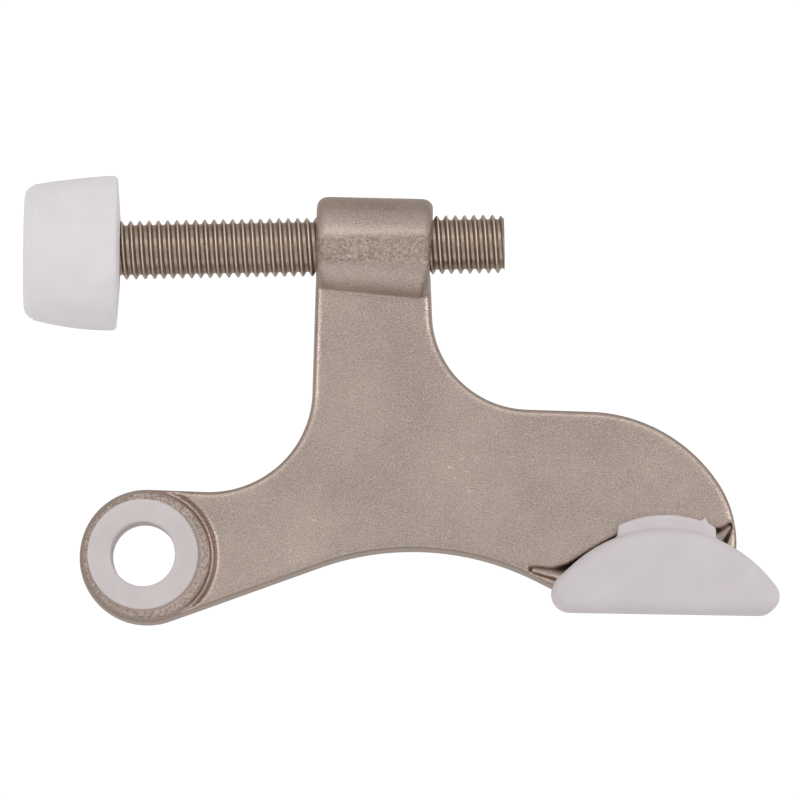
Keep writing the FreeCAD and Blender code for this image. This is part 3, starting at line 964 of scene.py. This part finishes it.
@dataclass
class ArmCasting:
    """The die-cast arm: flat plate, eye with its boss, barrel and the foot that the door pad grips."""

    thickness: float = 6.4
    draft: float = 0.25
    edge_round: float = 0.75
    swell: float = 0.07
    eye_x: float = 0.4
    eye_y: float = -0.17
    boss_radius: float = 8.6
    boss_height: float = 8.4
    boss_round: float = 0.6
    moat_width: float = 0.72
    moat_depth: float = 0.65
    moat_flare: float = 0.3
    moat_corner: float = 0.25
    eye_bore: float = 5.6
    recess_depth: float = 1.25
    recess_fillet: float = 0.5
    recess_flare: float = 0.45
    recess_inset: float = 0.12
    barrel_x: float = 23.85
    barrel_y: float = 41.25
    barrel_lean: float = 4.3
    barrel_length: float = 15.45
    barrel_left: float = 6.87
    barrel_right: float = 7.3
    barrel_round: float = 1.45
    barrel_square: float = 0.05
    barrel_square_reach: float = 5.0
    tap_radius: float = 4.12
    countersink: float = 0.5

    @staticmethod
    def outline() -> Outline:
        """Lay out the arm as seen along the hinge pin.

        Returns:
            The outline at the lower face.
        """
        return Outline(
            (
                Stretch(0.4, -0.17, 9.1),
                Stretch(35.43, -36.88, 36.93, Bend.RIGHT),
                Stretch(58.6, -5.05, 2.0),
                Stretch(76.3, -5.3, 2.0),
                Stretch(65.183, 0.65, 14.5),
                Stretch(59.25, -3.07, 21.5),
                Stretch(52.42, 32.02, 13.2, Bend.RIGHT),
                Stretch(39.1, 41.25),
                Stretch(23.85, 41.25),
                Stretch(9.17, 22.33, 13.85, Bend.RIGHT),
            )
        )

    @staticmethod
    def recess() -> Outline:
        """Lay out the recess above the sole, the same in both faces.

        Returns:
            The recess's outline.
        """
        return Outline(
            (
                Stretch(52.25, -2.9, 0.6),
                Stretch(58.4, -4.35, 1.0),
                Stretch(74.6, -4.6, 1.0),
                Stretch(78.78, 2.6, 0.42),
                Stretch(76.75, 4.1, 2.0, Bend.RIGHT),
                Stretch(67.0, 2.9),
                Stretch(71.93, -18.26, 21.25),
                Stretch(55.0, 2.62, 5.3, Bend.RIGHT),
            ),
            0.3,
        )

    def _boss(self) -> bpy.types.Object:
        """Make the boss round the hinge pin, which stands proud of both faces.

        Returns:
            The boss.
        """
        top, rounding = self.boss_height / 2, self.boss_round
        section = Outline(
            (
                Stretch(0.0, -top),
                Stretch(self.boss_radius - rounding, rounding - top, rounding),
                Stretch(self.boss_radius - rounding, top - rounding, rounding),
                Stretch(0.0, top),
            ),
            0.2,
        )
        boss = turned("boss", section, Plane.UPRIGHT, (0.0, 0.0, 1.0), closed=False)
        move_mesh(boss, Matrix.Translation(Vector((self.eye_x, self.eye_y, 0.0)) * MM))
        return boss

    def _moat(self, level: Level) -> bpy.types.Object:
        """Make the cutter of the groove in one face, where the boss rises from the plate.

        Args:
            level: Which face.

        Returns:
            The cutter.
        """
        face, corner = self.thickness / 2, self.moat_corner
        floor = face - self.moat_depth
        inner = self.boss_radius - OVERRUN
        outer = self.boss_radius + self.moat_width
        section = Outline(
            (
                Stretch(inner, floor),
                Stretch(outer - corner, floor + corner, corner),
                Stretch(outer, face - self.moat_flare),
                Stretch(outer + self.moat_flare + OVERRUN, face + OVERRUN),
                Stretch(inner, face + OVERRUN),
            ),
            0.1,
        )
        moat = turned("moat", section, Plane.UPRIGHT, (0.0, 0.0, 1.0))
        if level is Level.LOWER:
            move_mesh(moat, Matrix.Rotation(math.pi, 4, "X"))
        move_mesh(moat, Matrix.Translation(Vector((self.eye_x, self.eye_y, 0.0)) * MM))
        return moat

    def _barrel(self) -> bpy.types.Object:
        """Make the barrel: a slight cone on its own leaning axis, its left end nearly square to the screw.

        Returns:
            The barrel.
        """
        length, rounding = self.barrel_length, self.barrel_round
        section = Outline(
            (
                Stretch(length, 0.0),
                Stretch(length - rounding, self.barrel_right - rounding, rounding),
                Stretch(rounding, self.barrel_left - rounding, rounding),
                Stretch(0.0, 0.0),
            ),
            0.25,
        )
        barrel = turned("barrel", section, Plane.LEVEL, (1.0, 0.0, 0.0), closed=False)
        lean = Matrix.Rotation(math.radians(-self.barrel_lean), 4, "Z")
        move_mesh(barrel, Matrix.Translation(Vector((self.barrel_x, self.barrel_y, 0.0)) * MM) @ lean)
        for vertex in barrel.data.vertices:
            inside = (vertex.co.x / MM - self.barrel_x) / self.barrel_square_reach
            share = 1.0 - min(max(inside, 0.0), 1.0)
            vertex.co.x -= (vertex.co.y - self.barrel_y * MM) * self.barrel_square * share
        return barrel

    def _screw_hole(self) -> bpy.types.Object:
        """Make the cutter of the hole through the barrel, with its two countersunk mouths.

        Returns:
            The cutter.
        """
        reach, length = 2 * OVERRUN, self.barrel_length
        mouth = self.tap_radius + self.countersink
        section = Outline(
            (
                Stretch(length + reach, 0.0),
                Stretch(length + reach, mouth + reach),
                Stretch(length - self.countersink, self.tap_radius),
                Stretch(self.countersink, self.tap_radius),
                Stretch(-reach, mouth + reach),
                Stretch(-reach, 0.0),
            )
        )
        hole = turned("screw_hole", section, Plane.LEVEL, (1.0, 0.0, 0.0), closed=False)
        move_mesh(hole, Matrix.Translation(Vector((self.barrel_x, self.barrel_y, 0.0)) * MM))
        return hole

    def _recess_cutters(self, level: Level) -> tuple[bpy.types.Object, bpy.types.Object]:
        """Make the two cutters for one face's recess.

        Args:
            level: Which face.

        Returns:
            The recess's hollow with a round foot, and the flare of its rim.
        """
        outline, face = self.recess().grown(-self.recess_inset), self.thickness / 2
        floor = face - self.recess_depth
        hollow = prism("recess", outline, floor, self.thickness, rounding=self.recess_fillet)
        flare = prism("recess_flare", outline, face - self.recess_flare, OVERRUN, draft=-OVERRUN)
        for cutter in (hollow, flare):
            if level is Level.LOWER:
                move_mesh(cutter, Matrix.Diagonal((1.0, 1.0, -1.0, 1.0)))
                cutter.data.flip_normals()
        return hollow, flare

    def _eye_bore(self) -> bpy.types.Object:
        """Make the cutter of the bore that the bushings are pressed into.

        Returns:
            The cutter.
        """
        mesh = bmesh.new()
        bmesh.ops.create_cone(
            mesh,
            cap_ends=True,
            segments=128,
            radius1=self.eye_bore * MM,
            radius2=self.eye_bore * MM,
            depth=self.boss_height * 2 * MM,
        )
        return new_object("eye_bore", mesh)

    def build(self) -> bpy.types.Object:
        """Build the whole casting.

        Returns:
            The finished piece, without its material.
        """
        foot = self.outline().grown(self.swell)
        arm = prism("arm", foot, -self.thickness / 2, self.thickness, self.draft, self.edge_round)
        for level in Level:
            for cutter in (*self._recess_cutters(level), self._moat(level)):
                combine(arm, cutter, Join.CUT)
        combine(arm, self._boss(), Join.ADD)
        combine(arm, self._barrel(), Join.ADD)
        combine(arm, self._eye_bore(), Join.CUT)
        combine(arm, self._screw_hole(), Join.CUT)
        soften(arm, voxel=0.24, rounds=3, keep=0.5)
        return arm

    def make(self, material: bpy.types.Material) -> None:
        """Build the casting, dress it and hand it over."""
        hand_over(self.build(), "cast_arm", material, "arm", "arm_casting")


@dataclass
class WallBumper:
    """The rubber cap over the screw's head: a blunt cone that sits a little askew, as soft rubber does."""

    front: float = -15.5
    back: float = -2.62
    centre_x: float = -8.65
    centre_y: float = 41.05
    skew: float = 1.5
    nod: float = 1.4
    lift: float = 0.1
    front_x: float = -13.8
    front_y: float = 7.4
    front_round: float = 1.7
    belly_x: float = -4.2
    belly_radius: float = 40.0
    radius: float = 10.46
    back_round: float = 0.7
    back_dome: float = 0.35
    mouth: float = 4.6
    mouth_round: float = 0.3
    cavity_front: float = -11.85
    cavity_back: float = -5.5
    cavity_radius: float = 8.05
    sag: float = 0.3
    skin: float = 0.3

    def _settle(self, piece: bpy.types.Object) -> None:
        """Flatten the crown of the cone a little on the side away from the door pad.

        Args:
            piece: The bumper, in place.
        """
        length = self.back - self.front
        for vertex in piece.data.vertices:
            along = min(max((vertex.co.x / MM - self.front) / length, 0.0), 1.0)
            up = vertex.co.y / MM - self.centre_y
            out = math.hypot(up, vertex.co.z / MM)
            if up > 0.0 and out > self.cavity_radius + self.skin:
                share = (up / self.radius) ** 2 * math.sin(math.pi * along)
                vertex.co.y -= self.sag * share * MM

    def build(self) -> bpy.types.Object:
        """Build the bumper.

        Returns:
            The finished piece, without its material.
        """
        rim_x = self.back - self.back_dome - self.back_round
        section = Outline(
            (
                Stretch(self.cavity_front, 0.0),
                Stretch(self.cavity_front, self.cavity_radius),
                Stretch(self.cavity_back, self.cavity_radius),
                Stretch(self.cavity_back, self.mouth),
                Stretch(self.back - self.mouth_round, self.mouth + self.mouth_round, self.mouth_round),
                Stretch(rim_x, self.radius - self.back_round, self.back_round),
                Stretch(self.belly_x, self.radius - self.belly_radius, self.belly_radius),
                Stretch(self.front_x, self.front_y, self.front_round),
                Stretch(self.front, 0.0),
            ),
            0.3,
        )
        bumper = turned("bumper", section, Plane.LEVEL, (1.0, 0.0, 0.0), closed=False, steps=128)
        about = Matrix.Translation(Vector((self.centre_x, self.centre_y, self.lift)) * MM)
        askew = Matrix.Rotation(math.radians(-self.skew), 4, "Z")
        askew = askew @ Matrix.Rotation(math.radians(self.nod), 4, "Y")
        move_mesh(bumper, about @ askew @ Matrix.Translation((-self.centre_x * MM, 0.0, 0.0)))
        self._settle(bumper)
        shade_by_angle(bumper, degrees=40.0)
        return bumper

    def make(self, material: bpy.types.Material) -> None:
        """Build the bumper, dress it and hand it over."""
        hand_over(self.build(), "rubber_bumper", material, "bumper", "wall_bumper")


@dataclass
class DoorPad:
    """The rubber shoe that is snapped over the arm's foot, with a neck up each face of the arm."""

    x: float = 69.78
    y: float = -8.88
    lean: float = 1.92
    width: float = 14.0
    heel: float = 2.5
    toe: float = 2.25
    reach: float = 15.21
    dome_y: float = -7.1
    dome_radius: float = 18.2
    face_round: float = 1.7
    neck_half: float = 6.6
    neck_root: float = 6.0
    neck_width: float = 10.0
    neck_crown_y: float = -1.6
    neck_crown_radius: float = 14.6
    neck_corner_y: float = 11.0
    neck_corner_round: float = 0.7
    neck_edge: float = 0.4
    clearance: float = 0.12
    nib_radius: float = 0.42
    nib_stretch: tuple[float, float, float] = (0.8, 1.3, 0.9)
    nib_spot: tuple[float, float, float] = (5.1, 12.25, 4.45)

    def _nib(self) -> bpy.types.Object:
        """Make the nib that the mould's gate leaves on the neck's upper rim.

        Returns:
            The nib, placed on the unturned pad.
        """
        mesh = bmesh.new()
        bmesh.ops.create_icosphere(mesh, subdivisions=3, radius=self.nib_radius * MM)
        bmesh.ops.scale(mesh, vec=self.nib_stretch, verts=list(mesh.verts))
        bmesh.ops.translate(mesh, vec=Vector(self.nib_spot) * MM, verts=list(mesh.verts))
        return new_object("nib", mesh)

    def build(self) -> bpy.types.Object:
        """Build the pad.

        Returns:
            The finished piece, without its material.
        """
        shoe = Outline(
            (
                Stretch(self.heel - self.reach, self.heel, self.heel),
                Stretch(self.reach - self.toe, self.toe, self.toe),
                Stretch(0.0, self.dome_y, self.dome_radius),
            )
        )
        corner = self.neck_half - self.neck_corner_round
        neck = Outline(
            (
                Stretch(-self.neck_half, self.neck_root),
                Stretch(self.neck_half, self.neck_root),
                Stretch(corner, self.neck_corner_y, self.neck_corner_round),
                Stretch(0.0, self.neck_crown_y, self.neck_crown_radius),
                Stretch(-corner, self.neck_corner_y, self.neck_corner_round),
            )
        )
        pad = prism("pad", shoe, -self.width / 2, self.width, rounding=self.face_round)
        half = self.neck_width / 2
        combine(pad, prism("neck", neck, -half, self.neck_width, rounding=self.neck_edge), Join.ADD)
        combine(pad, self._nib(), Join.ADD)
        lean = Matrix.Rotation(math.radians(-self.lean), 4, "Z")
        move_mesh(pad, Matrix.Translation(Vector((self.x, self.y, 0.0)) * MM) @ lean)
        foot = ArmCasting.outline().grown(self.clearance)
        slot_width = ArmCasting().thickness + 2 * self.clearance
        combine(pad, prism("slot", foot, -slot_width / 2, slot_width), Join.CUT)
        soften(pad, voxel=0.26, rounds=2, keep=0.5)
        return pad

    def make(self, material: bpy.types.Material) -> None:
        """Build the pad, dress it and hand it over."""
        hand_over(self.build(), "rubber_pad", material, "arm", "door_pad")


@dataclass
class Bushing:
    """One flanged nylon bushing, pressed into the eye until its flange meets the boss."""

    level: Level
    bore: float = 4.3
    outside: float = 5.6
    gap: float = 0.1
    seat: float = 4.2
    flange_radius: float = 7.4
    flange_thickness: float = 0.9
    rim_round: float = 0.35
    bore_round: float = 0.3

    def build(self) -> bpy.types.Object:
        """Build the bushing.

        Returns:
            The finished piece, without its material.
        """
        top = self.seat + self.flange_thickness
        section = Outline(
            (
                Stretch(self.bore, self.gap),
                Stretch(self.outside, self.gap),
                Stretch(self.outside, self.seat),
                Stretch(self.flange_radius, self.seat),
                Stretch(self.flange_radius - self.rim_round, top - self.rim_round, self.rim_round),
                Stretch(self.bore + self.bore_round, top - self.bore_round, self.bore_round),
            ),
            0.08,
        )
        name = f"bushing_{self.level.name.lower()}"
        bushing = turned(name, section, Plane.UPRIGHT, (0.0, 0.0, 1.0), steps=128)
        if self.level is Level.LOWER:
            move_mesh(bushing, Matrix.Rotation(math.pi, 4, "X"))
        shade_by_angle(bushing, degrees=50.0)
        return bushing

    def make(self, material: bpy.types.Material) -> None:
        """Build the bushing, dress it and hand it over."""
        side = self.level.name.lower()
        hand_over(self.build(), f"nylon_bushing_{side}", material, "arm", f"{side}_bushing")


@dataclass
class AdjustingScrew:
    """The threaded screw, which stays the frame's own node and only gets its finish."""

    node: bpy.types.Object

    def make(self, material: bpy.types.Material) -> None:
        """Plate the screw and report it."""
        dress(self.node, material)
        LOG.info("%s: %d faces, the frame's own", self.node.name, len(self.node.data.polygons))


@dataclass(frozen=True)
class Lamp:
    """One soft area light."""

    name: str
    spot: tuple[float, float, float]
    size: tuple[float, float]
    power: float


@dataclass
class Studio:
    """The white table, the soft lights and the camera."""

    middle: tuple[float, float, float] = (34.75, 20.4, 0.0)
    distance: float = 1036.0
    lens: float = 346.5
    tilt: float = 3.95
    roll: float = 0.97
    floor_level: float = -10.6
    floor_half: float = 2500.0
    lamps: tuple[Lamp, ...] = (
        Lamp("softbox_far_side", (40.0, 430.0, 600.0), (900.0, 330.0), 0.6),
        Lamp("softbox_near_side", (30.0, -560.0, 330.0), (700.0, 260.0), 0.12),
        Lamp("strip_left", (-470.0, 20.0, 420.0), (110.0, 600.0), 0.65),
        Lamp("strip_right", (560.0, 40.0, 420.0), (110.0, 600.0), 0.75),
    )
    room_light: float = 0.70
    floor_seen: float = 1.05
    floor_mirrored: float = 0.5
    floor_bounce: float = 0.95

    def add_floor(self) -> None:
        """Lay the plain white table that the stop lies on."""
        mesh = bmesh.new()
        bmesh.ops.create_grid(mesh, x_segments=1, y_segments=1, size=self.floor_half * MM)
        floor = new_object("floor", mesh)
        move_mesh(floor, Matrix.Translation((0.0, 0.0, self.floor_level * MM)))
        floor.data.materials.append(white_table(self.floor_seen, self.floor_mirrored, self.floor_bounce))

    def add_lamps(self) -> None:
        """Hang the soft lights, each turned to the middle of the stop."""
        middle = Vector(self.middle) * MM
        for lamp in self.lamps:
            light = bpy.data.lights.new(lamp.name, "AREA")
            light.shape = "RECTANGLE"
            light.size = lamp.size[0] * MM
            light.size_y = lamp.size[1] * MM
            light.energy = lamp.power
            holder = bpy.data.objects.new(lamp.name, light)
            holder.location = Vector(lamp.spot) * MM
            holder.rotation_euler = (middle - holder.location).to_track_quat("-Z", "Y").to_euler()
            bpy.context.scene.collection.objects.link(holder)

    def add_world(self) -> None:
        """Fill the room with an even soft grey."""
        world = bpy.data.worlds.new("studio")
        world.use_nodes = True
        background = world.node_tree.nodes["Background"]
        background.inputs["Color"].default_value = (1.0, 1.0, 1.0, 1.0)
        background.inputs["Strength"].default_value = self.room_light
        bpy.context.scene.world = world

    def add_camera(self) -> None:
        """Stand the camera above the stop, a little towards the door pad's side."""
        data = bpy.data.cameras.new("camera")
        data.lens = self.lens
        data.sensor_width = 36.0
        data.clip_end = 20.0
        camera = bpy.data.objects.new("camera", data)
        turn = Matrix.Rotation(math.radians(self.tilt), 4, "X")
        turn = turn @ Matrix.Rotation(math.radians(-self.roll), 4, "Z")
        away = turn @ Vector((0.0, 0.0, self.distance * MM))
        camera.matrix_world = Matrix.Translation(Vector(self.middle) * MM + away) @ turn
        bpy.context.scene.collection.objects.link(camera)
        bpy.context.scene.camera = camera

    def build(self) -> None:
        """Set up the whole studio."""
        self.add_floor()
        self.add_lamps()
        self.add_world()
        self.add_camera()
        bpy.context.scene.view_settings.view_transform = "Standard"


CASTING = PlatedFinish(
    name="satin_nickel_casting",
    light=Tone(0.635, 0.523, 0.459),
    dark=Tone(0.375, 0.302, 0.262),
    # Bright tone of the painted highlight on the boss face round the eye.
    highlighted=Tone(0.66, 0.58, 0.53),
    # Dark tone for the darker skin hollows and for the painted crevice shade.
    darkening_and_painted_shade=Tone(0.20, 0.14, 0.11),
    roughness=0.27,
    grain_size=0.19,
    grain_height=0.036,
    pit_size=1.5,
    pit_height=0.06,
    # Strength of the painted crevice shade.
    crevice=0.14,
    axis_point=(0.4, -0.17, 0.0),
    across=(1.0, 1.0, 0.0),
    # Ring of painted highlight and rough skin on the boss face, round the hinge pin's axis.
    ring_from=7.3,
    ring_full=7.7,
    ring_to=8.35,
    highlighted_share=0.35,
    # How far the coarse skin's hollows are darkened.
    hollow_darkening=0.6,
    band_y=40.3,
    band_half=1.8,
)
THREAD = PlatedFinish(
    name="nickel_thread",
    light=Tone(0.60, 0.495, 0.41),
    dark=Tone(0.40, 0.32, 0.255),
    # Bright tone of the painted highlight on the thread's crests.
    highlighted=Tone(0.80, 0.71, 0.63),
    # Dark tone for the painted shade in the thread's valleys.
    darkening_and_painted_shade=Tone(0.14, 0.10, 0.075),
    roughness=0.3,
    grain_size=0.2,
    grain_height=0.012,
    pit_size=0.8,
    pit_height=0.006,
    # Strength of the painted shade in the thread's valleys.
    crevice=0.4,
    axis_point=(0.0, 41.25, 0.0),
    across=(0.0, 1.0, 1.0),
    # Ring of painted highlight on the crests, round the screw's axis.
    ring_from=3.84,
    ring_full=3.94,
    ring_to=4.1,
    highlighted_share=0.75,
)
BUMPER_RUBBER = MouldedFinish(
    name="white_bumper_rubber",
    light=Tone(0.775, 0.738, 0.753),
    dark=Tone(0.735, 0.70, 0.713),
)
PAD_RUBBER = MouldedFinish(
    name="white_pad_rubber",
    light=Tone(0.65, 0.60, 0.618),
    dark=Tone(0.605, 0.555, 0.572),
)
NYLON = MouldedFinish(
    name="white_nylon",
    light=Tone(0.635, 0.572, 0.577),
    dark=Tone(0.585, 0.525, 0.53),
    roughness=0.5,
    grain_size=0.3,
    grain_height=0.003,
    glow=0.1,
)


def main() -> None:
    """Load the frame, build and dress every piece, and set up the studio."""
    logging.basicConfig(level=logging.INFO, format="%(name)s: %(message)s")
    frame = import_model()
    nylon = moulded_white(NYLON)

    ArmCasting().make(plated_metal(CASTING))
    DoorPad().make(moulded_white(PAD_RUBBER))
    WallBumper().make(moulded_white(BUMPER_RUBBER))
    for level in Level:
        Bushing(level).make(nylon)
    AdjustingScrew(frame["nodes"]["adjusting_screw"]).make(plated_metal(THREAD))
    Studio().build()


if __name__ == "__main__":
    main()
